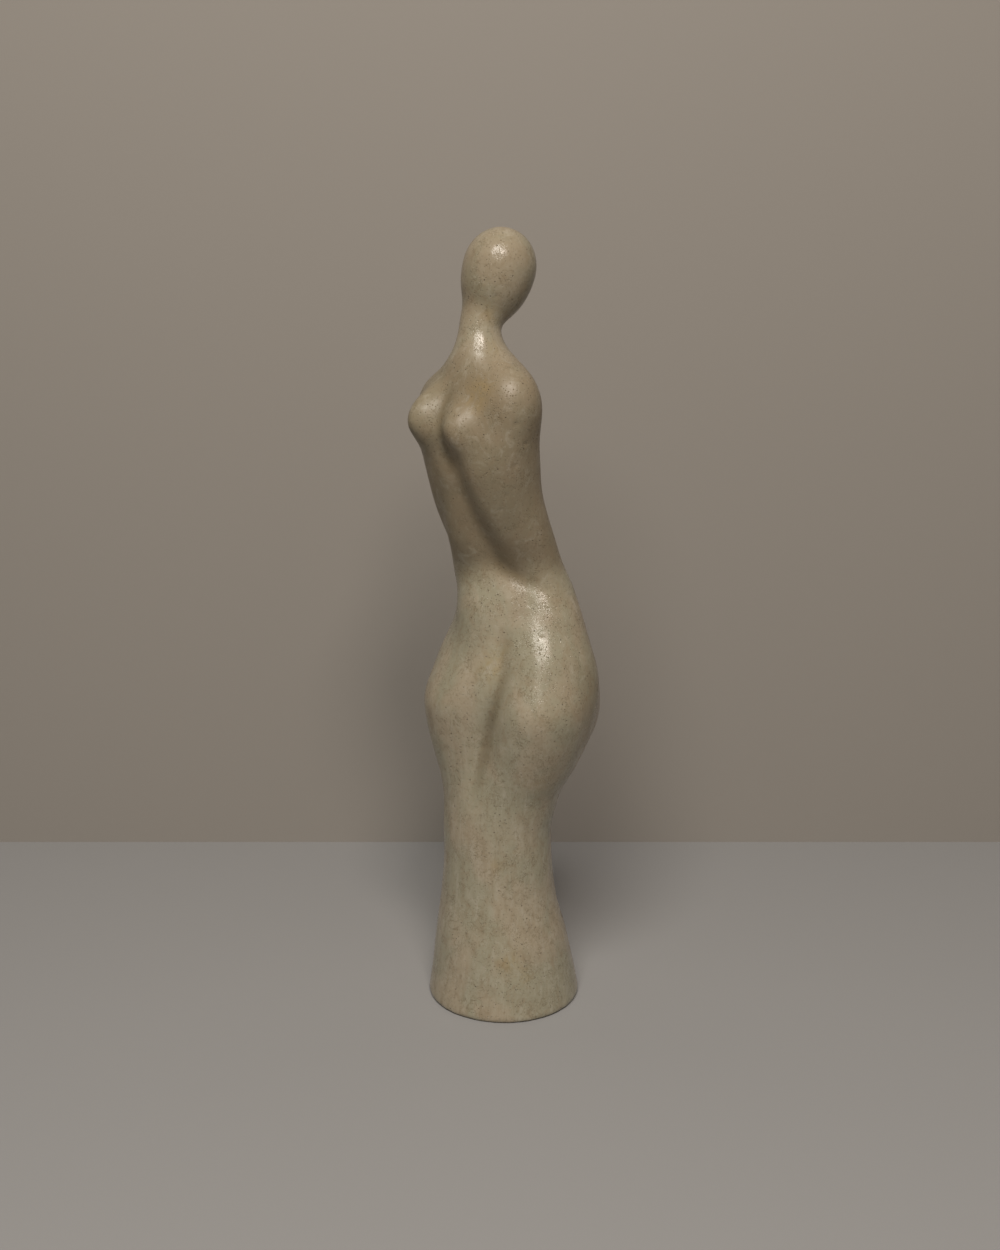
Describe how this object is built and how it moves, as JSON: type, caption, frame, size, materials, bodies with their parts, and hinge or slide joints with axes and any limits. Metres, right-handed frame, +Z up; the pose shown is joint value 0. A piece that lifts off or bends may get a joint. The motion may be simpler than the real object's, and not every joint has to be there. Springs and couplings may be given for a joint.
{
  "type": "standing figure carving",
  "caption": "Slender abstract standing female figure carved from one block of pale stone, blank egg-shaped head turned aside, body swelling at hips and flaring to a flat round foot.",
  "frame": {"origin": "centre of the flat underside of the foot", "axes": "+Z up; the hips face -Y; +X is the figure's own left. The chest is twisted about 16 degrees from the hips towards -X and the head is turned towards +X."},
  "size_m": [0.0697, 0.0633, 0.3],
  "materials": {
    "soapstone": "satin"
  },
  "bodies": {
    "root": {"carved_figure": "soapstone"}
  },
  "joints": []
}
